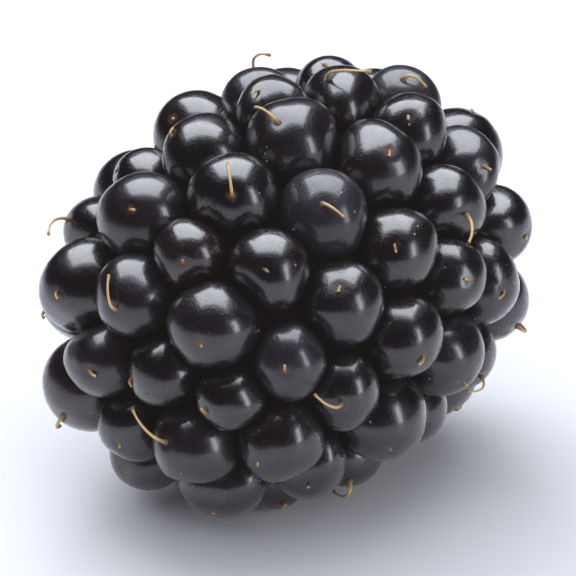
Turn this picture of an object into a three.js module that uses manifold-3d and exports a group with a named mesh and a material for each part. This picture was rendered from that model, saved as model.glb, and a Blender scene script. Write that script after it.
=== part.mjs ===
// A ripe bramble berry, picked from its stalk and lying on its side, in millimetres with +Z up.
// Its tip points along -Y and its picked end along +Y. The origin is on the surface that it lies on,
// under its middle.
//
// The drupelets are laid out along a golden-angle spiral over a blunt egg, then pushed apart until each
// has the room that its size asks for, and swell until they meet. They are joined to the flesh behind
// them, and the lowest ones are pressed flat where they carry the berry. The pale receptacle sits in a
// socket at the picked end, where the stalk came away.
import * as THREE from "three";
import { mergeVertices } from "three/addons/utils/BufferGeometryUtils.js";
import Module from "manifold-3d";

const { degToRad, lerp, clamp } = THREE.MathUtils;

// ---- The egg that the drupelets' shoulders lie on, which is round about Y ----
const eggRadius = 10.1; // at its widest ring
const tipReach = 13.35; // from the widest ring to its tip
const baseReach = 12.2; // from the widest ring to its other end
const bluntness = 0.58; // 1 gives elliptic ends, and less gives blunter ones
const tipAngle = 0.02; // the first drupelet, just off the axis
const rimAngle = degToRad(160); // the last drupelets, measured round the egg from its tip

// ---- Laying out the drupelets ----
const drupeletCount = 80;
const seed = 2408;
const goldenAngle = Math.PI * (3 - Math.sqrt(5));
const spiralHand = -1; // the way the spiral turns, 1 or -1
const sizeSpread = 0.25; // how much smaller or larger than average a drupelet may be
const wander = 0.6; // how far one may stray from the spiral, over the average spacing
const hexagonShare = Math.sqrt(3) / 2; // a drupelet's area over its spacing squared
const crowding = 1.045; // the spacing that they push for, over the average spacing
const pushes = 40;
const pushRate = 0.35;
const smallestRing = 1; // nearer the axis than this, a push turns a drupelet no faster

// ---- A drupelet ----
const shoulderHeight = 1; // from its centre out to the egg
const halfHeight = 2.3; // from its centre to its top, for one of average size
const neighbours = 6; // the nearest ones, which it swells against
const fullness = 1.04; // its half-width over its share of the way to them
const tipwardLean = degToRad(7); // it leans towards the berry's tip
const facetCover = 1.04; // its corners stand this far out, so that its faces keep the true size

// ---- Flesh and receptacle ----
const fleshDepth = 0.9; // from the egg in to the flesh between the drupelets
const fleshRings = 14;
const fleshSides = 20;
const plugRadius = 3;
const plugRootRadius = 2.2;
const plugFace = 11.8; // from the widest ring to the plug's face, along the axis
const plugDepth = 3.4;
const plugShoulder = 0.9; // the round edge of its face
const plugDome = 0.3;
const pitRadius = 0.65;
const pitDepth = 0.9;
const plugSides = 20;
const socketGap = 0.3;
const socketReach = 3; // the socket is cut this far beyond the plug's face

// ---- How the berry lies ----
const tipDip = degToRad(5.5);
const roll = degToRad(-0.8);
const widestRingAt = new THREE.Vector3(-0.05, 0.52, 10.9);
const groundBlock = 60; // the side of the block that presses the underside flat

const wasm = await Module();
wasm.setup();

// ---- The egg ----

// Its ring at an angle from the tip: the radius and the place along Y, and how fast each grows.
function eggRing(angle) {
  const reach = angle < Math.PI / 2 ? tipReach : baseReach;
  const sine = Math.sin(angle);
  return {
    radius: eggRadius * sine ** bluntness,
    along: -reach * Math.cos(angle),
    radiusGrowth: eggRadius * bluntness * sine ** (bluntness - 1) * Math.cos(angle),
    alongGrowth: reach * sine,
  };
}

// The vector with these parts outwards from the axis and along it, turned round the axis.
const turned = (out, along, turn) =>
  new THREE.Vector3(out * Math.cos(turn), along, out * Math.sin(turn));

function eggPoint({ angle, turn }) {
  const { radius, along } = eggRing(angle);
  return turned(radius, along, turn);
}

function eggNormal({ angle, turn }) {
  const { radiusGrowth, alongGrowth } = eggRing(angle);
  return turned(alongGrowth, -radiusGrowth, turn).normalize();
}

// The egg's area from its tip to each of many angles, up to the rim.
function areaTable(steps = 2000) {
  const rows = [{ angle: tipAngle, area: 0 }];
  for (let i = 1; i <= steps; i++) {
    const before = rows[i - 1];
    const angle = lerp(tipAngle, rimAngle, i / steps);
    const inner = eggRing(before.angle);
    const outer = eggRing(angle);
    const slant = Math.hypot(outer.radius - inner.radius, outer.along - inner.along);
    rows.push({ angle, area: before.area + Math.PI * slant * (outer.radius + inner.radius) });
  }
  return rows;
}

function angleAtArea(rows, area) {
  const i = Math.max(1, rows.findIndex((row) => row.area >= area));
  const share = (area - rows[i - 1].area) / (rows[i].area - rows[i - 1].area);
  return lerp(rows[i - 1].angle, rows[i].angle, share);
}

// ---- Where the drupelets grow ----

// Gives a function whose every call draws the next number from 0 to 1.
function drawsFrom(start) {
  let state = start >>> 0;
  return () => {
    state = (state + 0x6d2b79f5) >>> 0;
    let mixed = state;
    mixed = Math.imul(mixed ^ (mixed >>> 15), mixed | 1);
    mixed ^= mixed + Math.imul(mixed ^ (mixed >>> 7), mixed | 61);
    return ((mixed ^ (mixed >>> 14)) >>> 0) / 2 ** 32;
  };
}

// The spiral's places, with each drupelet's size and the little that it strays.
function spiralPlaces(rows, wholeArea, spacing) {
  const draw = drawsFrom(seed);
  const spread = () => 2 * draw() - 1;
  return Array.from({ length: drupeletCount }, (_, i) => {
    const size = 1 + sizeSpread * (draw() + draw() - 1);
    const onSpiral = angleAtArea(rows, ((i + 0.5) / drupeletCount) * wholeArea);
    const angle = clamp(onSpiral + (wander * spacing * spread()) / tipReach, tipAngle, rimAngle);
    const ring = Math.max(smallestRing, eggRadius * Math.sin(angle));
    return { size, angle, turn: spiralHand * (i * goldenAngle + (wander * spacing * spread()) / ring) };
  });
}

// Moves every place a step away from those that are nearer than their two sizes ask for.
function pushApart(places, spacing) {
  const points = places.map(eggPoint);
  const moves = points.map((point, i) => {
    const move = new THREE.Vector3();
    points.forEach((other, j) => {
      const away = point.clone().sub(other);
      const wanted = (crowding * spacing * (places[i].size + places[j].size)) / 2;
      const short = i === j ? 0 : Math.max(0, wanted - away.length());
      move.addScaledVector(away.normalize(), short * pushRate);
    });
    return move;
  });
  places.forEach((place, i) => {
    const { radius, radiusGrowth, alongGrowth } = eggRing(place.angle);
    const down = turned(radiusGrowth, alongGrowth, place.turn);
    const across = turned(radius, 0, place.turn + Math.PI / 2);
    const angle = place.angle + moves[i].dot(down) / Math.max(1, down.lengthSq());
    place.turn += moves[i].dot(across) / Math.max(smallestRing ** 2, across.lengthSq());
    place.angle = clamp(Math.abs(angle), tipAngle, rimAngle);
  });
}

// One drupelet's share of the way to its neighbours, on average over the nearest of them.
function roomOf(i, centres, places) {
  const shares = centres
    .map((other, j) => (centres[i].distanceTo(other) * places[i].size) / (places[i].size + places[j].size))
    .filter((_, j) => j !== i)
    .sort((a, b) => a - b)
    .slice(0, neighbours);
  return shares.reduce((sum, share) => sum + share, 0) / neighbours;
}

// Every drupelet: its centre, its outward direction, its half-width and its half-height.
function growDrupelets() {
  const rows = areaTable();
  const wholeArea = rows.at(-1).area;
  const spacing = Math.sqrt(wholeArea / drupeletCount / hexagonShare);
  const places = spiralPlaces(rows, wholeArea, spacing);
  for (let i = 0; i < pushes; i++) pushApart(places, spacing);
  const lean = new THREE.Vector3(0, -Math.tan(tipwardLean), 0);
  const centres = places.map((p) => eggPoint(p).addScaledVector(eggNormal(p), -shoulderHeight));
  return places.map((place, i) => ({
    centre: centres[i],
    outward: eggNormal(place).add(lean).normalize(),
    halfWidth: fullness * roomOf(i, centres, places),
    halfHeight: halfHeight * place.size,
  }));
}

// ---- Solids ----

function solidOf(geometry) {
  const bare = geometry.clone();
  bare.deleteAttribute("normal");
  bare.deleteAttribute("uv");
  const merged = mergeVertices(bare, 1e-4);
  return new wasm.Manifold(
    new wasm.Mesh({
      numProp: 3,
      vertProperties: merged.attributes.position.array,
      triVerts: new Uint32Array(merged.index.array),
    }),
  );
}

function geometryOf(solid) {
  const { vertProperties, triVerts } = solid.getMesh();
  const geometry = new THREE.BufferGeometry();
  geometry.setAttribute("position", new THREE.BufferAttribute(vertProperties, 3));
  geometry.setIndex(new THREE.BufferAttribute(triVerts, 1));
  geometry.computeVertexNormals();
  return geometry;
}

// A faceted ball, drawn out along the drupelet's outward direction.
function drupeletSolid({ centre, outward, halfWidth, halfHeight }) {
  const ball = new THREE.IcosahedronGeometry(facetCover, 1);
  const facing = new THREE.Quaternion().setFromUnitVectors(new THREE.Vector3(0, 1, 0), outward);
  const stretch = new THREE.Vector3(halfWidth, halfHeight, halfWidth);
  ball.applyMatrix4(new THREE.Matrix4().compose(centre, facing, stretch));
  return solidOf(ball);
}

// The egg drawn in by fleshDepth, closed on the axis at both ends.
function fleshSolid() {
  const profile = [];
  for (let i = 0; i <= fleshRings; i++) {
    const { radius, along } = eggRing((Math.PI * i) / fleshRings);
    const onAxis = i === 0 || i === fleshRings;
    const share = along / (along < 0 ? tipReach : baseReach);
    profile.push(new THREE.Vector2(onAxis ? 0 : radius - fleshDepth, along - fleshDepth * share));
  }
  return solidOf(new THREE.LatheGeometry(profile, fleshSides));
}

// The receptacle: a short plug with a round-edged, domed face, and a pit where the stalk's core was.
function plugGeometry() {
  const outline = new THREE.Path();
  outline.moveTo(0, plugFace - plugDepth);
  outline.lineTo(plugRootRadius, plugFace - plugDepth);
  outline.lineTo(plugRadius, plugFace - plugShoulder);
  outline.quadraticCurveTo(plugRadius, plugFace, plugRadius - plugShoulder, plugFace + plugDome);
  outline.quadraticCurveTo(pitRadius, plugFace + plugDome, pitRadius, plugFace - pitDepth);
  outline.lineTo(0, plugFace - pitDepth);
  return new THREE.LatheGeometry(outline.getPoints(3), plugSides);
}

function socketSolid() {
  const outline = new THREE.Path();
  outline.moveTo(0, plugFace - plugDepth - socketGap);
  outline.lineTo(plugRootRadius + socketGap, plugFace - plugDepth - socketGap);
  outline.lineTo(plugRadius + socketGap, plugFace - plugShoulder);
  outline.lineTo(plugRadius + socketGap, plugFace + socketReach);
  outline.lineTo(0, plugFace + socketReach);
  return solidOf(new THREE.LatheGeometry(outline.getPoints(), plugSides));
}

// ---- The berry ----

// From the egg's own place to where the berry lies.
const lie = new THREE.Matrix4().compose(
  widestRingAt,
  new THREE.Quaternion().setFromEuler(new THREE.Euler(tipDip, roll, 0)),
  new THREE.Vector3(1, 1, 1),
);

// What lies below the surface, seen from the egg's own place.
function groundSolid() {
  const block = new THREE.BoxGeometry(groundBlock, groundBlock, groundBlock);
  block.translate(0, 0, -groundBlock / 2);
  return solidOf(block.applyMatrix4(lie.clone().invert()));
}

// The drupelets and the flesh in one body. Only its outermost surface is kept, which fills any gap that
// is sealed in between them.
function drupeletsGeometry() {
  const clump = wasm.Manifold.union([fleshSolid(), ...growDrupelets().map(drupeletSolid)]);
  const cut = clump.subtract(socketSolid()).subtract(groundSolid());
  return geometryOf(cut.decompose().reduce((a, b) => (b.volume() > a.volume() ? b : a)));
}

const skin = new THREE.MeshStandardMaterial({ color: 0x120d14, roughness: 0.22, metalness: 0 });
const pith = new THREE.MeshStandardMaterial({ color: 0xd3ce9f, roughness: 0.75, metalness: 0 });

const drupelets = new THREE.Mesh(drupeletsGeometry(), skin);
drupelets.name = "drupelets";

const receptacle = new THREE.Mesh(plugGeometry(), pith);
receptacle.name = "receptacle";

const berry = new THREE.Group();
berry.add(drupelets, receptacle);
berry.applyMatrix4(lie);

export default berry;
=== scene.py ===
"""A ripe bramble berry lying on its side: drupelets, dried styles and the pale receptacle."""

import math
import random

import bpy
import numpy as np
from mathutils import Matrix, Vector


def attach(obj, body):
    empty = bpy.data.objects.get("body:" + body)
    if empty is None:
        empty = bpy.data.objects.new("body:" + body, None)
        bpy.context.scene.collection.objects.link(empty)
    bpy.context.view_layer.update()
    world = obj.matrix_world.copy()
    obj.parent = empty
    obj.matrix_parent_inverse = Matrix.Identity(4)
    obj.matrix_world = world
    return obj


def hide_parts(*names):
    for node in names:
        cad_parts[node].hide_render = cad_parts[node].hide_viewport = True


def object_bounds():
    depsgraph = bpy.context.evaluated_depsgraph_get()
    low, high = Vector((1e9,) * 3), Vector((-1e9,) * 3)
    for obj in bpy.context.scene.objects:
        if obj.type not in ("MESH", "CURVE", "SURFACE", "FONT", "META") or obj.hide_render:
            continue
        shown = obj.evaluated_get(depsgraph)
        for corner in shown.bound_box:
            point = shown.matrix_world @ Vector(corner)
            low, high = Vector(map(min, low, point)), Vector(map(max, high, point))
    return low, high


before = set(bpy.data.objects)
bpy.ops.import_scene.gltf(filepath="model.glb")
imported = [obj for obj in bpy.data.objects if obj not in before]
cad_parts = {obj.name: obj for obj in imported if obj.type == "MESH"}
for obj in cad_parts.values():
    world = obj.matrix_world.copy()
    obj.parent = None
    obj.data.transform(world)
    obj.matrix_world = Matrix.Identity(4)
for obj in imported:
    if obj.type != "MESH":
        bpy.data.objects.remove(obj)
solids_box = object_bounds()

MM = 0.001
TURN = 2 * math.pi

# ---- The egg that the drupelets' shoulders lie on, which is round about Y ----
EGG_RADIUS = 10.1 * MM
TIP_REACH = 13.35 * MM
BASE_REACH = 12.2 * MM
BLUNTNESS = 0.58  # the power of its width's curve, where 1 is an ellipse
TIP_ANGLE = 0.02  # radians from its tip, the first place for a drupelet
RIM_ANGLE = math.radians(160)  # the last place, round the receptacle

# ---- Laying out the drupelets, as the solids do ----
DRUPELET_COUNT = 80
SEED = 2408
GOLDEN_ANGLE = math.pi * (3 - math.sqrt(5))
SPIRAL_HAND = -1
SIZE_SPREAD = 0.25
WANDER = 0.6  # over their spacing
HEXAGON_SHARE = math.sqrt(3) / 2
CROWDING = 1.045
PUSHES = 40
PUSH_RATE = 0.35
SMALLEST_RING = 1 * MM
AREA_STEPS = 2000

# ---- A drupelet ----
SHOULDER_HEIGHT = 1 * MM
HALF_HEIGHT = 2.3 * MM
NEIGHBOURS = 6  # the nearest, which set its width
PRESSING = 12  # the nearest, which may press its skin back
FULLNESS = 1.04
TIPWARD_LEAN = math.radians(7)
BALL_SIDES = 56
BALL_RINGS = 22
CREASE_SHARE = 0.8  # of the ball's rings, those outside the crease with its neighbours
CREASE_SEARCH = np.radians(np.arange(30, 113, 1.5))  # from its outward direction
CREASE_REACH = 0.2 * MM  # the most that a place counts as past a neighbour's skin
SEAT_LEAN = (math.radians(12), math.radians(42))  # from its outward direction, tipwards
SEAT_SWING = math.radians(30)
SEAT_WIDTH = math.radians(11)
SEAT_DEPTH = 0.035  # over its size
ROOM_DIRECTIONS = 48
ROOM_SOFTNESS = math.radians(28)
LEAST_FACING = 0.05  # the cosine from which a neighbour limits the room in a direction
LEAST_ROOM, MOST_ROOM = 0.86, 1.25  # over its half-width
SWELLING = 0.945  # over its room
SQUARENESS = 2.02  # the power of its section's curve, where 2 is an ellipse
SKIN_GAP = 0.04 * MM
PRESSED_EDGE = 0.08 * MM
GROUND_EDGE = 0.1 * MM
DENT = 0.013  # how far its surface wavers, over its size
WAVERS = ((2.2, 1.0), (3.4, 0.7), (5.5, 0.35))  # how tightly each runs, and its share of the dent
BLOOM_MEAN, BLOOM_SPREAD = 0.12, 0.28

# ---- Flesh behind the drupelets ----
FLESH_DEPTH = 1.6 * MM
FLESH_SIDES, FLESH_RINGS = 64, 40
POLE = 1e-6  # radians, kept off the egg's ends, where its slope has no value
CLOSED = 1e-4  # the sine below which the flesh closes to a point

# ---- Styles. Widths are over the stem's radius, and places from 0 at the foot to 1 at the end ----
STYLE_SIDES = 7
STYLE_RINGS = 16
STYLE_RADIUS = 0.095 * MM
STYLE_RADIUS_SPREAD = (0.85, 1.15)
STYLE_FOOT_WIDTH = 2.2
STYLE_FLARE, STYLE_FLARE_FADE = 1.1, 22
STYLE_TAPER = 0.45
STYLE_SWELL, STYLE_SWELL_PLACE, STYLE_SWELL_SPAN = 0.75, 0.97, 0.035
WHOLE_SHARE = 0.32  # of the styles, the others being stubs
WHOLE_LENGTHS, STUB_LENGTHS = (1.7, 3.0), (0.15, 0.6)  # millimetres
STUB_SHOWS = 0.25  # of a whole style's colours, from the foot
STYLE_CURL = 0.35
STYLE_LIFTS = (0.2, 0.6)
# Its curve's handles after the first, over its length: up, up again for its lift, aside, curled.
STYLE_HANDLES = ((0.4, 0, 0.1, 0), (0.3, 0.4, 0.55, 0.5), (-0.15, 1, 0.85, 1))
STYLE_ROOT = 0.06 * MM
STYLE_SPARE = 0.02  # how far past the solids' box a style's curve may go, over its sides
STYLE_LOWEST, STYLE_SURFACE_LOWEST = 0.1 * MM, 0.03 * MM  # its curve's handles, and its skin

# ---- Receptacle ----
PLUG_SIDES = 72
PLUG_RADIUS = 3 * MM
PLUG_ROOT_RADIUS = 2.2 * MM
PLUG_FACE = 11.8 * MM
PLUG_DEPTH = 3.4 * MM
PLUG_DOME = 0.3 * MM
PLUG_ROUNDING = 2  # subdivisions
PIT_RADIUS = 0.65 * MM
PIT_DEPTH = 0.9 * MM
# Its rings, in order: heights over its depth, then over its depth and dome, both with radii
# over its own, and last the depths and radii over the pit's.
PLUG_SIDE = ((0.5, 0.86), (0.74, 1.0), (0.86, 0.985), (0.94, 0.93), (0.99, 0.85), (1.02, 0.76))
PLUG_TOP = ((0.985, 0.64), (0.975, 0.52), (0.955, 0.42), (0.9, 0.33))
PIT_WALL = ((0.45, 1.25), (0.85, 1.0), (1.0, 0.5))
RIDGES = ((7, 0.5), (13, 0.35), (29, 0.3))  # how many go round it, and their share of the height
RIDGE_HEIGHT = 0.07 * MM
RIDGE_PHASES = 6.3  # radians
RIDGE_SKEW = 0.8  # radians to the millimetre outwards
RIDGED_SHARE = 0.4  # of its depth, next to its face
RIDGES_START, RIDGES_FULL = 0.15, 0.65  # from its middle, over its radius

# ---- How the berry lies ----
TIP_DIP = math.radians(5.5)
ROLL = math.radians(-0.8)
WIDEST_RING_AT = Vector((-0.05, 0.52, 10.9)) * MM
LIE = (
    Matrix.Translation(WIDEST_RING_AT)
    @ Matrix.Rotation(TIP_DIP, 4, "X")
    @ Matrix.Rotation(ROLL, 4, "Y")
)

# ---- Skin's finish. Colours are linear red, green and blue, and sizes are of a noise's lumps ----
SKIN_DARK, SKIN_LIGHT = (0.0025, 0.0015, 0.0035), (0.0045, 0.002, 0.0045)
SKIN_ROUGHNESS, SKIN_UNEVENNESS = 0.22, 0.1
SKIN_SIZE = 0.5 * MM
WINE = (0.014, 0.005, 0.008)
WINE_TINTS = (0.85, 1.0)
WINE_SHARE = 0.6
BLOOM = (0.028, 0.025, 0.040)
BLOOM_SIZE = 1.3 * MM
BLOOM_PATCHINESS, BLOOM_CLEAR = 0.55, 0.38  # what its patches add, and what is taken off
BLOOM_FULL = 0.75
# Its share of the colour, what it adds to the roughness, and what it takes off the coat.
BLOOM_SHARE, BLOOM_ROUGHNESS, BLOOM_DULLING = 0.35, 0.22, 0.42
SCAR = (0.09, 0.038, 0.022)
SCAR_EDGE = (0.992, 1.003)  # cosines of the angle from the seat
SCAR_EDGE_SIZE, SCAR_EDGE_WAVER = 0.3 * MM, 0.012
SCAR_PATCH_SIZE, SCAR_PATCHES = 1.6 * MM, (0.48, 0.62)
SCAR_SHARE, SCAR_DULLING = 0.8, 0.5
# Pale specks in the skin's colour, partly dust and partly painted pinpoint highlights.
DUST_AND_PAINTED_GLINT = (0.45, 0.42, 0.40)
SPECK_SPACING = 0.8 * MM
SPECK_EDGE = (0.05, 0.09)  # from its middle, over the spacing
SPECK_PATCH_SIZE, SPECK_PATCHES = 2.5 * MM, (0.52, 0.6)
SPECK_SHARE = 0.8
DIMPLE_SIZE, DIMPLE_DEPTH, DIMPLE_STRENGTH = 0.7 * MM, 0.06 * MM, 0.35
GRAIN_SIZE, GRAIN_DEPTH, GRAIN_STRENGTH = 0.1 * MM, 0.05 * MM, 0.6
MOTTLE_SIZE, MOTTLE_DULLING = 0.35 * MM, 0.35

# ---- Flesh's finish ----
FLESH_DARK, FLESH_LIGHT = (0.006, 0.004, 0.004), (0.010, 0.006, 0.006)
FLESH_ROUGHNESS, FLESH_UNEVENNESS = 0.5, 0.3
FLESH_SIZE, FLESH_RELIEF, FLESH_STRENGTH = 0.8 * MM, 0.2 * MM, 0.6

# ---- Styles' finish ----
STYLE_TAN, STYLE_GOLD = (0.52, 0.30, 0.11), (0.75, 0.52, 0.24)
STYLE_FOOT, STYLE_FOOT_REACH, STYLE_FOOT_SHARE = (0.10, 0.045, 0.02), (0.0, 0.28), 0.85
STYLE_END, STYLE_END_REACH, STYLE_END_SHARE = (0.28, 0.13, 0.05), (0.88, 1.0), 0.7
STYLE_ROUGHNESS, STYLE_UNEVENNESS = 0.45, 0.2
STYLE_SIZE, STYLE_RELIEF, STYLE_STRENGTH = 0.12 * MM, 0.02 * MM, 0.5

# ---- Pith's finish ----
PITH_DARK, PITH_LIGHT = (0.62, 0.58, 0.36), (0.78, 0.76, 0.58)
PITH_ROUGHNESS, PITH_UNEVENNESS = 0.5, 0.25
PITH_SIZE, PITH_RELIEF, PITH_STRENGTH = 0.35 * MM, 0.1 * MM, 0.7
GREEN, GREEN_BLOTCHES, GREEN_SHARE = (0.50, 0.52, 0.26), (0.5, 0.75), 0.4
BLOTCH_SIZE = 1.1 * MM
JUICE, JUICE_SHARE = (0.10, 0.015, 0.03), 0.9
JUICE_EDGE, JUICE_WAVER = (0.93, 1.12), 0.2  # from its middle, over its radius
PIT_BROWN, PIT_SHARE = (0.30, 0.20, 0.09), 0.75
PIT_EDGE = (0.16, 0.36)

# ---- The surface's finish ----
SURFACE_DARK, SURFACE_LIGHT = (0.80, 0.795, 0.81), (0.82, 0.815, 0.83)
SURFACE_ROUGHNESS, SURFACE_UNEVENNESS = 0.5, 0.1
SURFACE_MOTTLE_SIZE = 30 * MM

# ---- A Mix node's sockets when it mixes colours ----
MIX_SHARE, MIX_FIRST, MIX_SECOND, MIX_RESULT = 0, 6, 7, 2

# ---- Camera, with azimuths and elevations in degrees, as the views count them ----
VIEW_AZIMUTH = 35.4
VIEW_ELEVATION = 23.9
VIEW_DISTANCE = 300 * MM
VIEW_LENS = 350  # millimetres
VIEW_FRAME = 36  # millimetres
VIEW_CLIP = (0.01, 20)
VIEW_TARGET = Vector((0, 0, 10.6)) * MM
BLACK_LIFT = (0.0095, 0.008, 0.0078)  # how far the view lifts red, green and blue from black

# ---- Lights, in metres, with azimuths and elevations in degrees ----
LIGHT_COLOUR = (0.88, 0.91, 1.0)
# The overhead shine is softboxes with one far edge. The nearer one reaches, the dimmer it glows,
# so that their near edges fade in steps.
SHINE_AZIMUTH = 216
SHINE_DISTANCE = 0.75
SHINE_FAR_EDGE = 138  # degrees up and over from the camera's side, so behind the berry
SHINE_STEPS = ((68, 0.8, 1.08), (74, 1.5, 1.0), (80, 4.2, 0.94))  # near edge, glow, width
# Name, azimuth, elevation, distance, width, height, glow, and whether it shows in the gloss.
SOFTBOXES = (
    ("side_shine_wide", 91, 16, 0.75, 0.34, 0.62, 1.2, True),
    ("side_shine_core", 91, 14, 0.75, 0.16, 0.48, 5.2, True),
    ("side_light", 75, 18, 0.3, 0.24, 0.16, 3.4, False),
    ("back_left_light", 245, 46, 0.125, 0.11, 0.1, 4.0, False),
    ("overhead_light", 215, 78, 0.14, 0.17, 0.17, 1.7, False),
    ("front_light", 28, 50, 0.15, 0.16, 0.11, 1.38, False),
)
STUDIO_COLOUR = (0.86, 0.9, 1.0)
STUDIO_GLOW = 0.2
SURFACE_SIZE = 4  # metres


# ---------------------------------------------------------------- laying out the drupelets


def draws_from(start):
    """A function whose every call draws the next number from 0 to 1, as the solids' rule does."""
    state = start
    whole = 0xFFFFFFFF

    def draw():
        nonlocal state
        state = (state + 0x6D2B79F5) & whole
        mixed = state
        mixed = ((mixed ^ (mixed >> 15)) * (mixed | 1)) & whole
        mixed ^= (mixed + ((mixed ^ (mixed >> 7)) * (mixed | 61) & whole)) & whole
        return (mixed ^ (mixed >> 14)) / 2**32

    return draw


def egg_ring(angle):
    """The egg's ring at each angle from the tip: radius, place along Y, and how fast each grows."""
    reach = np.where(angle < math.pi / 2, TIP_REACH, BASE_REACH)
    sine = np.sin(angle)
    radius = EGG_RADIUS * sine**BLUNTNESS
    radius_growth = EGG_RADIUS * BLUNTNESS * sine ** (BLUNTNESS - 1) * np.cos(angle)
    return radius, -reach * np.cos(angle), radius_growth, reach * sine


def turned(out, along, turn):
    """Vectors with these parts outwards from the axis and along it, turned round the axis."""
    return np.stack([out * np.cos(turn), along + 0 * turn, out * np.sin(turn)], axis=-1)


def egg_points(angle, turn):
    radius, along, _, _ = egg_ring(angle)
    return turned(radius, along, turn)


def egg_normals(angle, turn):
    _, _, radius_growth, along_growth = egg_ring(angle)
    return unit(turned(along_growth, -radius_growth, turn))


def unit(vectors):
    """Vectors in rows, each made one long."""
    return vectors / np.linalg.norm(vectors, axis=1, keepdims=True)


def area_table():
    """Many angles from the tip to the rim, and the egg's area up to each."""
    angles = np.linspace(TIP_ANGLE, RIM_ANGLE, AREA_STEPS + 1)
    radius, along, _, _ = egg_ring(angles)
    slants = np.hypot(np.diff(radius), np.diff(along))
    bands = math.pi * slants * (radius[1:] + radius[:-1])
    return angles, np.concatenate([[0], np.cumsum(bands)])


def spiral_places(angles, areas, spacing):
    """The spiral's places, with each drupelet's size and the little that it strays."""
    draw = draws_from(SEED)
    places = []
    for i in range(DRUPELET_COUNT):
        size = 1 + SIZE_SPREAD * (draw() + draw() - 1)
        on_spiral = np.interp((i + 0.5) / DRUPELET_COUNT * areas[-1], areas, angles)
        strayed = on_spiral + WANDER * spacing * (2 * draw() - 1) / TIP_REACH
        angle = min(max(strayed, TIP_ANGLE), RIM_ANGLE)
        ring = max(SMALLEST_RING, EGG_RADIUS * math.sin(angle))
        turn = SPIRAL_HAND * (i * GOLDEN_ANGLE + WANDER * spacing * (2 * draw() - 1) / ring)
        places.append((size, angle, turn))
    return np.array(places).T


def push_apart(size, angle, turn, spacing):
    """One step away from the places that are nearer than their two sizes ask for."""
    points = egg_points(angle, turn)
    away = points[:, None] - points[None]
    apart = np.linalg.norm(away, axis=2) + np.eye(len(size))
    wanted = CROWDING * spacing * (size[:, None] + size[None]) / 2
    short = np.clip(wanted - apart, 0, None) * (1 - np.eye(len(size)))
    moves = (away / apart[..., None] * short[..., None]).sum(axis=1) * PUSH_RATE
    radius, _, radius_growth, along_growth = egg_ring(angle)
    down = turned(radius_growth, along_growth, turn)
    across = turned(radius, 0, turn + math.pi / 2)
    down_square = np.maximum(MM**2, (down**2).sum(axis=1))
    across_square = np.maximum(SMALLEST_RING**2, (across**2).sum(axis=1))
    turn = turn + (moves * across).sum(axis=1) / across_square
    angle = angle + (moves * down).sum(axis=1) / down_square
    return np.clip(np.abs(angle), TIP_ANGLE, RIM_ANGLE), turn


def in_world(vectors, as_directions=False):
    """From the egg's own place to where the berry lies."""
    moved = vectors @ np.array(LIE.to_3x3()).T
    return moved if as_directions else moved + np.array(LIE.translation)


class Drupelets:
    """Every drupelet's centre, outward and tipward directions, half-width and half-height."""

    def __init__(self):
        angles, areas = area_table()
        spacing = math.sqrt(areas[-1] / DRUPELET_COUNT / HEXAGON_SHARE)
        size, angle, turn = spiral_places(angles, areas, spacing)
        for _ in range(PUSHES):
            angle, turn = push_apart(size, angle, turn, spacing)
        normals = egg_normals(angle, turn)
        outward = unit(normals + np.array([0, -math.tan(TIPWARD_LEAN), 0]))
        tipward = unit(np.cross(np.cross(outward, [0, -1, 0]), outward))
        self.size = size
        self.centre = in_world(egg_points(angle, turn) - normals * SHOULDER_HEIGHT)
        self.outward = in_world(outward, as_directions=True)
        self.tipward = in_world(tipward, as_directions=True)
        self.sideways = np.cross(self.outward, self.tipward)
        away = self.centre[None] - self.centre[:, None]
        apart = np.linalg.norm(away, axis=2)
        np.fill_diagonal(apart, np.inf)
        self.share = apart * size[:, None] / (size[:, None] + size[None])
        self.towards = away / apart[..., None]
        nearest = np.sort(self.share, axis=1)[:, :NEIGHBOURS]
        self.half_width = FULLNESS * nearest.mean(axis=1)
        self.half_height = HALF_HEIGHT * size

    def __len__(self):
        return len(self.size)

    def room(self, i):
        """The room its neighbours leave drupelet i, in headings round its outward direction."""
        headings = np.arange(ROOM_DIRECTIONS) * TURN / ROOM_DIRECTIONS
        forward, aside = np.cos(headings), np.sin(headings)
        rays = np.outer(forward, self.tipward[i]) + np.outer(aside, self.sideways[i])
        facing = rays @ self.towards[i].T
        facing[:, i] = 0
        reach = self.share[i] / np.maximum(facing, LEAST_FACING)
        reach = np.where(facing > LEAST_FACING, reach, np.inf).min(axis=1)
        width = self.half_width[i]
        reach = np.clip(reach, LEAST_ROOM * width, MOST_ROOM * width)
        gaps = (headings[:, None] - headings[None] + math.pi) % TURN - math.pi
        weights = np.exp(-((gaps / ROOM_SOFTNESS) ** 2))
        return headings, weights @ reach / weights.sum(axis=1)


# ---------------------------------------------------------------- modelling


def clear_selection():
    if bpy.context.object and bpy.context.object.mode != "OBJECT":
        bpy.ops.object.mode_set(mode="OBJECT")
    bpy.ops.object.select_all(action="DESELECT")


def select_only(*pieces):
    clear_selection()
    for piece in pieces:
        piece.select_set(True)
    bpy.context.view_layer.objects.active = pieces[0]


def start_from_disc(name, sides, radius):
    """A filled disc in edit mode, all selected, to be extruded ring by ring along Z."""
    clear_selection()
    bpy.ops.mesh.primitive_circle_add(vertices=sides, radius=radius, fill_type="NGON")
    bpy.context.object.name = name
    bpy.ops.object.mode_set(mode="EDIT")
    bpy.ops.mesh.select_all(action="SELECT")
    return bpy.context.object


def extrude_ring(rise, widening):
    """In edit mode, raises the selected face and widens it."""
    bpy.ops.mesh.extrude_region_move(TRANSFORM_OT_translate={"value": (0, 0, rise)})
    bpy.ops.transform.resize(value=(widening, widening, 1))


def face_outwards(piece):
    select_only(piece)
    bpy.ops.object.mode_set(mode="EDIT")
    bpy.ops.mesh.select_all(action="SELECT")
    bpy.ops.mesh.normals_make_consistent(inside=False)
    bpy.ops.object.mode_set(mode="OBJECT")


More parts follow.
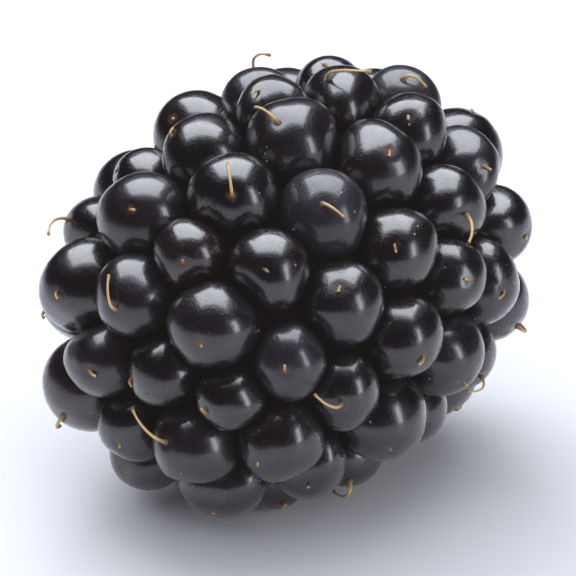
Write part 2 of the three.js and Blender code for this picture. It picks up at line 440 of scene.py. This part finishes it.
def points_of(mesh):
    points = np.empty(len(mesh.vertices) * 3)
    mesh.vertices.foreach_get("co", points)
    return points.reshape(-1, 3)


def reshape(mesh, points):
    mesh.vertices.foreach_set("co", np.ascontiguousarray(points, dtype=np.float64).ravel())
    mesh.update()


def mark(mesh, name, values):
    """Gives every point of the mesh its value of a named attribute, which the finishes read."""
    layer = mesh.attributes.new(name, "FLOAT", "POINT")
    values = np.broadcast_to(values, len(mesh.vertices))
    layer.data.foreach_set("value", values.astype(np.float32))


def copy_of(master, name):
    piece = bpy.data.objects.new(name, master.data.copy())
    bpy.context.collection.objects.link(piece)
    return piece


def joined(pieces, name):
    select_only(*pieces)
    bpy.ops.object.join()
    piece = bpy.context.object
    piece.name = name
    piece.data.name = name
    return piece


def finished(piece, material, node):
    """Smooth-shades the piece, gives it its finish and lets it stand for its solid."""
    select_only(piece)
    bpy.ops.object.shade_smooth()
    piece.data.materials.clear()
    piece.data.materials.append(material)
    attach(piece, "root")
    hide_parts(node)
    clear_selection()
    return piece


def smooth_floor(heights, edge):
    """Heights with what is below nought brought up to it, over a rounded edge."""
    return (heights + np.sqrt(heights**2 + edge**2)) / 2


# ---------------------------------------------------------------- drupelets


def model_ball():
    """A unit ball with its poles on Z."""
    clear_selection()
    bpy.ops.mesh.primitive_uv_sphere_add(segments=BALL_SIDES, ring_count=BALL_RINGS, radius=1)
    return bpy.context.object


class Form:
    """The shape of one drupelet, as offsets from its centre in any directions."""

    def __init__(self, drupelets, i, chance):
        self.centre = drupelets.centre[i]
        self.axes = np.stack([drupelets.tipward[i], drupelets.sideways[i], drupelets.outward[i]])
        self.height = drupelets.half_height[i]
        self.headings, room = drupelets.room(i)
        self.widths = room * SWELLING
        nearest = np.argsort(drupelets.share[i])[:PRESSING]
        self.towards = drupelets.towards[i, nearest]
        self.share = drupelets.share[i, nearest] - SKIN_GAP / 2
        self.wavers = [self.waver(waves, share, chance) for waves, share in WAVERS]
        lean = chance.uniform(*SEAT_LEAN)
        swing = chance.gauss(0, 1) * SEAT_SWING
        aside = self.axes[0] * math.cos(swing) + self.axes[1] * math.sin(swing)
        self.seat = self.axes[2] * math.cos(lean) + aside * math.sin(lean)
        self.seat_sides = (aside, np.cross(self.seat, aside))

    @staticmethod
    def waver(waves, share, chance):
        """A gentle wave over its surface: its run, its share of the dent and its phase."""
        run = np.array([chance.gauss(0, 1) for _ in range(3)])
        return run * waves / np.linalg.norm(run), share, chance.uniform(0, TURN)

    def directions(self, angles, headings):
        """Directions at these angles from its outward one, and these headings round it."""
        sine = np.sin(angles)
        parts = (np.cos(headings) * sine, np.sin(headings) * sine, np.cos(angles))
        return np.stack(parts, -1) @ self.axes

    def unpressed(self, directions):
        """Its skin before its neighbours press it: an uneven cushion with a dimpled seat."""
        forward, aside, up = (directions @ self.axes.T).T
        heading = np.arctan2(aside, forward)
        width = np.interp(heading, self.headings, self.widths, period=TURN)
        level = np.hypot(forward, aside)
        fuller = (level**SQUARENESS + np.abs(up) ** SQUARENESS) ** (-1 / SQUARENESS)
        for run, share, phase in self.wavers:
            fuller = fuller * (1 + DENT * share * np.sin(directions @ run + phase))
        off_seat = np.arccos(np.clip(directions @ self.seat, -1, 1))
        fuller = fuller * (1 - SEAT_DEPTH * np.exp(-((off_seat / SEAT_WIDTH) ** 2)))
        lengths = np.stack([forward * width, aside * width, up * self.height], -1)
        return lengths @ self.axes * fuller[:, None]

    def crease(self, headings):
        """The angle from its outward direction at which its skin first meets a neighbour's."""
        angles, around = np.meshgrid(CREASE_SEARCH, headings)
        offsets = self.unpressed(self.directions(angles.ravel(), around.ravel()))
        past = (offsets @ self.towards.T - self.share).max(axis=1).reshape(angles.shape)
        past[:, -1] = 1
        first = np.maximum((past > 0).argmax(axis=1), 1)
        rows = np.arange(len(headings))
        before, after = past[rows, first - 1], np.minimum(past[rows, first], CREASE_REACH)
        share = np.clip(-before / (after - before), 0, 1)
        return CREASE_SEARCH[first - 1] + share * (CREASE_SEARCH[first] - CREASE_SEARCH[first - 1])

    def skin(self, directions):
        """Its skin, pressed back where its neighbours' skins meet it, in the berry's frame."""
        offsets = self.unpressed(directions)
        for towards, share in zip(self.towards, self.share):
            back = smooth_floor(offsets @ towards - share, PRESSED_EDGE)
            offsets = offsets - np.outer(back, towards)
        points = self.centre + offsets
        points[:, 2] = smooth_floor(points[:, 2], GROUND_EDGE)
        return points


def make_drupelet(form, number, master, chance):
    """A copy of the ball in this drupelet's shape, with most of its rings outside the crease."""
    piece = copy_of(master, f"drupelet_{number:02d}")
    local = points_of(piece.data)
    share = np.arccos(np.clip(local[:, 2], -1, 1)) / math.pi
    headings = np.arctan2(local[:, 1], local[:, 0])
    crease = form.crease(headings)
    outside = np.minimum(share / CREASE_SHARE, 1)
    inside = np.maximum(share - CREASE_SHARE, 0) / (1 - CREASE_SHARE)
    directions = form.directions(crease * outside + (math.pi - crease) * inside, headings)
    reshape(piece.data, form.skin(directions))
    mark(piece.data, "tint", chance.random())
    mark(piece.data, "bloom", max(0.0, chance.gauss(BLOOM_MEAN, BLOOM_SPREAD)))
    mark(piece.data, "seat", directions @ form.seat)
    return piece


# ---------------------------------------------------------------- flesh, styles, receptacle


def make_flesh():
    """The dark flesh behind the drupelets, seen only in the deepest gaps."""
    clear_selection()
    bpy.ops.mesh.primitive_uv_sphere_add(segments=FLESH_SIDES, ring_count=FLESH_RINGS, radius=1)
    flesh = bpy.context.object
    flesh.name = "flesh"
    local = points_of(flesh.data)
    angle = np.arccos(np.clip(-local[:, 2], -1, 1))
    radius, along, _, _ = egg_ring(np.clip(angle, POLE, math.pi - POLE))
    turn = np.arctan2(local[:, 1], local[:, 0])
    reach = np.where(along < 0, TIP_REACH, BASE_REACH)
    radius = np.maximum(radius - FLESH_DEPTH, 0) * (np.sin(angle) > CLOSED)
    reshape(flesh.data, in_world(turned(radius, along * (1 - FLESH_DEPTH / reach), turn)))
    face_outwards(flesh)
    return flesh


def style_width(share):
    """How wide a style is at each share of its length, over its stem's radius."""
    flare = STYLE_FLARE * math.exp(-share * STYLE_FLARE_FADE)
    off_swell = (share - STYLE_SWELL_PLACE) / STYLE_SWELL_SPAN
    return 1 + flare - STYLE_TAPER * share + STYLE_SWELL * math.exp(-(off_swell**2))


def model_style():
    """A straight style from z 0 to 1: a flared foot, a slim stem and a small swollen end."""
    style = start_from_disc("style", STYLE_SIDES, STYLE_FOOT_WIDTH)
    width = STYLE_FOOT_WIDTH
    for ring in range(1, STYLE_RINGS + 1):
        next_width = style_width(ring / STYLE_RINGS)
        extrude_ring(1 / STYLE_RINGS, next_width / width)
        width = next_width
    face_outwards(style)
    return style


def style_limits():
    """The corners of the solids' box with a little to spare, clear of the surface below it."""
    low, high = np.array(solids_box)
    spare = STYLE_SPARE * (high - low)
    low, high = low - spare, high + spare
    low[2] = max(low[2], STYLE_LOWEST)
    return low, high


def style_path(form, length, chance):
    """A gently curling line from the seat, as a cubic curve's handles, near the solids' box."""
    up = form.seat
    heading = chance.uniform(0, TURN)
    aside = form.seat_sides[0] * math.cos(heading) + form.seat_sides[1] * math.sin(heading)
    curl = np.cross(up, aside) * chance.gauss(0, STYLE_CURL)
    lift = chance.uniform(*STYLE_LIFTS)
    foot = form.skin(up[None])[0] - up * STYLE_ROOT
    handles = [foot]
    for rise, lifted, out, curled in STYLE_HANDLES:
        reach = up * (rise + lifted * lift) + aside * out + curl * curled
        handles.append(np.clip(foot + reach * length, *style_limits()))
    return handles


def along_curve(handles, share):
    """Points and directions of a cubic curve at each share of its length."""
    a, b, c, d = handles
    t = share[:, None]
    s = 1 - t
    points = a * s**3 + 3 * b * t * s**2 + 3 * c * t**2 * s + d * t**3
    headings = 3 * (b - a) * s**2 + 6 * (c - b) * t * s + 3 * (d - c) * t**2
    return points, unit(headings)


def make_style(form, number, master, chance):
    """One dried style, whole or broken off to a stub."""
    whole = chance.random() < WHOLE_SHARE
    length = chance.uniform(*(WHOLE_LENGTHS if whole else STUB_LENGTHS)) * MM
    radius = STYLE_RADIUS * chance.uniform(*STYLE_RADIUS_SPREAD)
    piece = copy_of(master, f"style_{number:02d}")
    local = points_of(piece.data)
    middles, headings = along_curve(style_path(form, length, chance), local[:, 2])
    first = unit(np.cross(headings, form.seat_sides[1]))
    second = np.cross(headings, first)
    points = middles + (first * local[:, :1] + second * local[:, 1:2]) * radius
    points[:, 2] = np.maximum(points[:, 2], STYLE_SURFACE_LOWEST)
    reshape(piece.data, points)
    mark(piece.data, "along", local[:, 2] if whole else local[:, 2] * STUB_SHOWS)
    return piece


def model_receptacle():
    """The pale plug at the picked end, with a round-edged face and a pit in its middle."""
    plug = start_from_disc("receptacle_plug", PLUG_SIDES, PLUG_ROOT_RADIUS)
    top = PLUG_DEPTH + PLUG_DOME
    rings = [(up * PLUG_DEPTH, out * PLUG_RADIUS) for up, out in PLUG_SIDE]
    rings += [(up * top, out * PLUG_RADIUS) for up, out in PLUG_TOP]
    rings += [(PLUG_DEPTH - down * PIT_DEPTH, out * PIT_RADIUS) for down, out in PIT_WALL]
    height, radius = 0.0, PLUG_ROOT_RADIUS
    for next_height, next_radius in rings:
        extrude_ring(next_height - height, next_radius / radius)
        height, radius = next_height, next_radius
    face_outwards(plug)
    rounding = plug.modifiers.new("rounding", "SUBSURF")
    rounding.levels = rounding.render_levels = PLUG_ROUNDING
    bpy.ops.object.modifier_apply(modifier="rounding")
    return plug


def make_receptacle(chance):
    """The plug in its place in the berry, with ridges fanning out over its face."""
    plug = model_receptacle()
    local = points_of(plug.data)
    turn = np.arctan2(local[:, 1], local[:, 0])
    radius = np.hypot(local[:, 0], local[:, 1])
    near_face = local[:, 2] / PLUG_DEPTH - (1 - RIDGED_SHARE)
    near_face = np.clip(near_face, 0, RIDGED_SHARE) / RIDGED_SHARE
    ridges = np.zeros(len(local))
    for count, share in RIDGES:
        phase = chance.uniform(0, RIDGE_PHASES)
        skew = chance.uniform(-RIDGE_SKEW, RIDGE_SKEW)
        ridges += share * np.sin(turn * count + phase + radius / MM * skew)
    outwards = (radius / PLUG_RADIUS - RIDGES_START) / (RIDGES_FULL - RIDGES_START)
    outwards = np.clip(outwards, 0, 1)
    along = local[:, 2] + ridges * RIDGE_HEIGHT * near_face * outwards
    points = turned(radius, along + PLUG_FACE - PLUG_DEPTH, -turn)
    reshape(plug.data, in_world(points))
    mark(plug.data, "out", radius / PLUG_RADIUS)
    face_outwards(plug)
    return plug


# ---------------------------------------------------------------- finishes


class Wire:
    """The value on a shader socket. Arithmetic on it adds Math nodes."""

    def __init__(self, finish, socket):
        self.finish = finish
        self.socket = socket

    def maths(self, operation, *values):
        sockets = dict(enumerate(values))
        return self.finish.wire("ShaderNodeMath", 0, {"operation": operation}, sockets)

    def __add__(self, other):
        return self.maths("ADD", self, other)

    def __sub__(self, other):
        return self.maths("SUBTRACT", self, other)

    def __rsub__(self, other):
        return self.maths("SUBTRACT", other, self)

    def __mul__(self, other):
        return self.maths("MULTIPLY", self, other)

    __radd__ = __add__
    __rmul__ = __mul__


class Finish:
    """A material: its shader's fixed settings, and the nodes that vary over the surface."""

    def __init__(self, name, **fixed):
        self.material = bpy.data.materials.new(name)
        self.material.use_nodes = True
        self.tree = self.material.node_tree
        self.shader = self.tree.nodes["Principled BSDF"]
        for words, value in fixed.items():
            self.shader_socket(words).default_value = value
        self.place = self.wire("ShaderNodeTexCoord", "Object")

    def shader_socket(self, words):
        """The shader's socket by its name in small letters, as coat_ior for Coat IOR."""
        return self.shader.inputs[words.replace("_", " ").title().replace("Ior", "IOR")]

    def wire(self, kind, output, settings=None, sockets=None):
        """A new node's output. Its settings are set first, then its sockets' values or links."""
        node = self.tree.nodes.new(kind)
        for words, value in (settings or {}).items():
            setattr(node, words, value)
        for key, value in (sockets or {}).items():
            if isinstance(value, Wire):
                self.tree.links.new(value.socket, node.inputs[key])
            else:
                node.inputs[key].default_value = value
        return Wire(self, node.outputs[output])

    def attribute(self, name):
        return self.wire("ShaderNodeAttribute", "Fac", {"attribute_name": name})

    def noise(self, size, detail=2.0, roughness=0.5):
        """Soft noise from 0 to 1, with lumps of about this size."""
        sockets = {"Vector": self.place, "Scale": 1 / size}
        sockets |= {"Detail": detail, "Roughness": roughness}
        return self.wire("ShaderNodeTexNoise", "Fac", None, sockets)

    def cells(self, size):
        """The distance to the nearest of many points scattered this far apart, over that size."""
        sockets = {"Vector": self.place, "Scale": 1 / size}
        return self.wire("ShaderNodeTexVoronoi", "Distance", None, sockets)

    def between(self, value, low, high):
        """A mask that goes smoothly from 0 at low to 1 at high."""
        settings = {"interpolation_type": "SMOOTHSTEP"}
        sockets = {"Value": value, "From Min": low, "From Max": high}
        return self.wire("ShaderNodeMapRange", "Result", settings, sockets)

    def mix(self, share, first, second):
        """A colour between two, by the share of the second."""
        sockets = {MIX_SHARE: share}
        for key, colour in ((MIX_FIRST, first), (MIX_SECOND, second)):
            sockets[key] = colour if isinstance(colour, Wire) else (*colour, 1)
        return self.wire("ShaderNodeMix", MIX_RESULT, {"data_type": "RGBA"}, sockets)

    def bump(self, height, distance, strength, below=None):
        """A normal raised by the height, over the normal below it if there is one."""
        sockets = {"Height": height, "Distance": distance, "Strength": strength}
        if below:
            sockets["Normal"] = below
        return self.wire("ShaderNodeBump", "Normal", None, sockets)

    def feed(self, **wires):
        for words, wire in wires.items():
            self.tree.links.new(wire.socket, self.shader_socket(words))
        return self.material


def skin_finish():
    """Thin, juicy, near-black skin: glossy, finely grained, with a faint bloom here and there."""
    skin = Finish("skin", coat_ior=1.65, ior=1.4, coat_roughness=0.15)
    tint = skin.attribute("tint")
    patches = skin.noise(BLOOM_SIZE, detail=3, roughness=0.6)
    bloom = skin.attribute("bloom") + patches * BLOOM_PATCHINESS - BLOOM_CLEAR
    bloom = skin.between(bloom, 0.0, BLOOM_FULL)
    colour = skin.mix(tint, SKIN_DARK, SKIN_LIGHT)
    colour = skin.mix(skin.between(tint, *WINE_TINTS) * WINE_SHARE, colour, WINE)
    colour = skin.mix(bloom * BLOOM_SHARE, colour, BLOOM)
    near_seat = skin.attribute("seat") + skin.noise(SCAR_EDGE_SIZE) * SCAR_EDGE_WAVER
    scar = skin.between(near_seat, *SCAR_EDGE)
    scar *= skin.between(skin.noise(SCAR_PATCH_SIZE, detail=1), *SCAR_PATCHES)
    colour = skin.mix(scar * SCAR_SHARE, colour, SCAR)
    # Pale specks mixed into the colour, partly dust and partly painted pinpoint highlights, with
    # the coat taken off where they lie.
    dust_and_glint = 1 - skin.between(skin.cells(SPECK_SPACING), *SPECK_EDGE)
    dust_and_glint *= skin.between(skin.noise(SPECK_PATCH_SIZE, detail=1), *SPECK_PATCHES)
    colour = skin.mix(dust_and_glint * SPECK_SHARE, colour, DUST_AND_PAINTED_GLINT)
    unevenness = skin.noise(SKIN_SIZE) * SKIN_UNEVENNESS
    roughness = bloom * BLOOM_ROUGHNESS + unevenness + SKIN_ROUGHNESS
    normal = skin.bump(skin.noise(DIMPLE_SIZE), DIMPLE_DEPTH, DIMPLE_STRENGTH)
    grain = skin.noise(GRAIN_SIZE, detail=1.5)
    normal = skin.bump(grain, GRAIN_DEPTH, GRAIN_STRENGTH, below=normal)
    mottle = skin.noise(MOTTLE_SIZE, detail=3, roughness=0.65)
    coat = (1 - bloom * BLOOM_DULLING) * (1 - dust_and_glint) * (1 - scar * SCAR_DULLING)
    coat *= 1 - mottle * MOTTLE_DULLING
    return skin.feed(base_color=colour, roughness=roughness, coat_weight=coat, normal=normal)


def flesh_finish():
    """Dark, moist flesh, seen only between the drupelets."""
    flesh = Finish("flesh", specular_ior_level=0.0)
    lumps = flesh.noise(FLESH_SIZE, detail=3)
    colour = flesh.mix(lumps, FLESH_DARK, FLESH_LIGHT)
    roughness = lumps * FLESH_UNEVENNESS + FLESH_ROUGHNESS
    normal = flesh.bump(lumps, FLESH_RELIEF, FLESH_STRENGTH)
    return flesh.feed(base_color=colour, roughness=roughness, normal=normal)


def style_finish():
    """Dried, golden-tan thread, browner at its foot and its end."""
    style = Finish("dried_style", ior=1.45)
    along = style.attribute("along")
    fibre = style.noise(STYLE_SIZE, detail=3)
    foot = 1 - style.between(along, *STYLE_FOOT_REACH)
    end = style.between(along, *STYLE_END_REACH)
    colour = style.mix(fibre, STYLE_TAN, STYLE_GOLD)
    colour = style.mix(foot * STYLE_FOOT_SHARE, colour, STYLE_FOOT)
    colour = style.mix(end * STYLE_END_SHARE, colour, STYLE_END)
    roughness = fibre * STYLE_UNEVENNESS + STYLE_ROUGHNESS
    normal = style.bump(fibre, STYLE_RELIEF, STYLE_STRENGTH)
    return style.feed(base_color=colour, roughness=roughness, normal=normal)


def pith_finish():
    """Pale, fibrous pith, stained by juice round its edge and drier in its pit."""
    pith = Finish("pith", ior=1.4)
    out = pith.attribute("out")
    fibres = pith.noise(PITH_SIZE, detail=4, roughness=0.6)
    blotches = pith.noise(BLOTCH_SIZE, detail=3)
    stain = pith.between(out + blotches * JUICE_WAVER, *JUICE_EDGE)
    pit = 1 - pith.between(out, *PIT_EDGE)
    colour = pith.mix(fibres, PITH_DARK, PITH_LIGHT)
    colour = pith.mix(pith.between(blotches, *GREEN_BLOTCHES) * GREEN_SHARE, colour, GREEN)
    colour = pith.mix(stain * JUICE_SHARE, colour, JUICE)
    colour = pith.mix(pit * PIT_SHARE, colour, PIT_BROWN)
    roughness = fibres * PITH_UNEVENNESS + PITH_ROUGHNESS
    normal = pith.bump(fibres, PITH_RELIEF, PITH_STRENGTH)
    return pith.feed(base_color=colour, roughness=roughness, normal=normal)


def surface_finish():
    """A smooth, pale, faintly glossy surface."""
    surface = Finish("pale_surface", ior=1.3)
    mottle = surface.noise(SURFACE_MOTTLE_SIZE)
    colour = surface.mix(mottle, SURFACE_DARK, SURFACE_LIGHT)
    roughness = mottle * SURFACE_UNEVENNESS + SURFACE_ROUGHNESS
    return surface.feed(base_color=colour, roughness=roughness)


# ---------------------------------------------------------------- stage, lights and camera


def make_stage():
    clear_selection()
    bpy.ops.mesh.primitive_plane_add(size=SURFACE_SIZE, location=(0, 0, 0))
    floor = bpy.context.object
    floor.name = "pale_surface"
    floor.data.materials.append(surface_finish())


def direction(azimuth, elevation):
    """From the berry towards an azimuth and elevation in degrees, as the views count them."""
    azimuth, elevation = math.radians(azimuth), math.radians(elevation)
    level = math.cos(elevation)
    return Vector((math.sin(azimuth) * level, -math.cos(azimuth) * level, math.sin(elevation)))


def aim(thing, azimuth, elevation, distance):
    """Stands a light or camera off in this direction, facing the berry."""
    away = direction(azimuth, elevation)
    thing.location = VIEW_TARGET + away * distance
    thing.rotation_euler = (-away).to_track_quat("-Z", "Y").to_euler()
    bpy.context.collection.objects.link(thing)


def softbox(name, azimuth, elevation, distance, width, height, glow, shows):
    """A soft, flat light that is seen only in the gloss or, if it doesn't show, only as light."""
    light = bpy.data.lights.new(name, "AREA")
    light.shape = "RECTANGLE"
    light.size, light.size_y = width, height
    light.energy = glow * math.pi * width * height
    light.color = LIGHT_COLOUR
    lamp = bpy.data.objects.new(name, light)
    aim(lamp, azimuth, elevation, distance)
    lamp.visible_camera = False
    lamp.visible_diffuse = not shows
    lamp.visible_glossy = shows


def make_lights():
    """The softboxes, and a dim studio round them that gives light but stays out of the gloss."""
    for step, (near_edge, glow, width) in enumerate(SHINE_STEPS):
        elevation = 180 - (near_edge + SHINE_FAR_EDGE) / 2
        half_angle = math.radians((SHINE_FAR_EDGE - near_edge) / 2)
        height = 2 * SHINE_DISTANCE * math.tan(half_angle)
        name = f"overhead_shine_{step}"
        softbox(name, SHINE_AZIMUTH, elevation, SHINE_DISTANCE, width, height, glow, True)
    for settings in SOFTBOXES:
        softbox(*settings)
    world = bpy.data.worlds.new("studio")
    bpy.context.scene.world = world
    world.use_nodes = True
    background = world.node_tree.nodes["Background"]
    background.inputs["Color"].default_value = (*STUDIO_COLOUR, 1)
    background.inputs["Strength"].default_value = STUDIO_GLOW
    world.cycles_visibility.glossy = False


def set_exposure():
    """A plain response to light, with its blacks lifted a little, as by a trace of flare."""
    film = bpy.context.scene.view_settings
    film.view_transform = "Standard"
    film.use_curve_mapping = True
    for channel, lift in zip(film.curve_mapping.curves, BLACK_LIFT):
        channel.points[0].location = (0, lift)
    film.curve_mapping.update()


def make_camera():
    camera = bpy.data.cameras.new("camera")
    camera.lens = VIEW_LENS
    camera.sensor_width = VIEW_FRAME
    camera.clip_start, camera.clip_end = VIEW_CLIP
    eye = bpy.data.objects.new("camera", camera)
    aim(eye, VIEW_AZIMUTH, VIEW_ELEVATION, VIEW_DISTANCE)
    bpy.context.scene.camera = eye


# ---------------------------------------------------------------- the berry


def make_berry():
    chance = random.Random(SEED)
    drupelets = Drupelets()
    ball, straight_style = model_ball(), model_style()
    skins, styles = [], []
    for i in range(len(drupelets)):
        form = Form(drupelets, i, chance)
        skins.append(make_drupelet(form, i, ball, chance))
        styles.append(make_style(form, i, straight_style, chance))
    for master in (ball, straight_style):
        bpy.data.objects.remove(master)
    finished(joined(skins, "drupelet_skins"), skin_finish(), "drupelets")
    finished(make_flesh(), flesh_finish(), "drupelets")
    finished(joined(styles, "dried_styles"), style_finish(), "drupelets")
    finished(make_receptacle(chance), pith_finish(), "receptacle")


make_berry()
make_stage()
make_lights()
make_camera()
set_exposure()
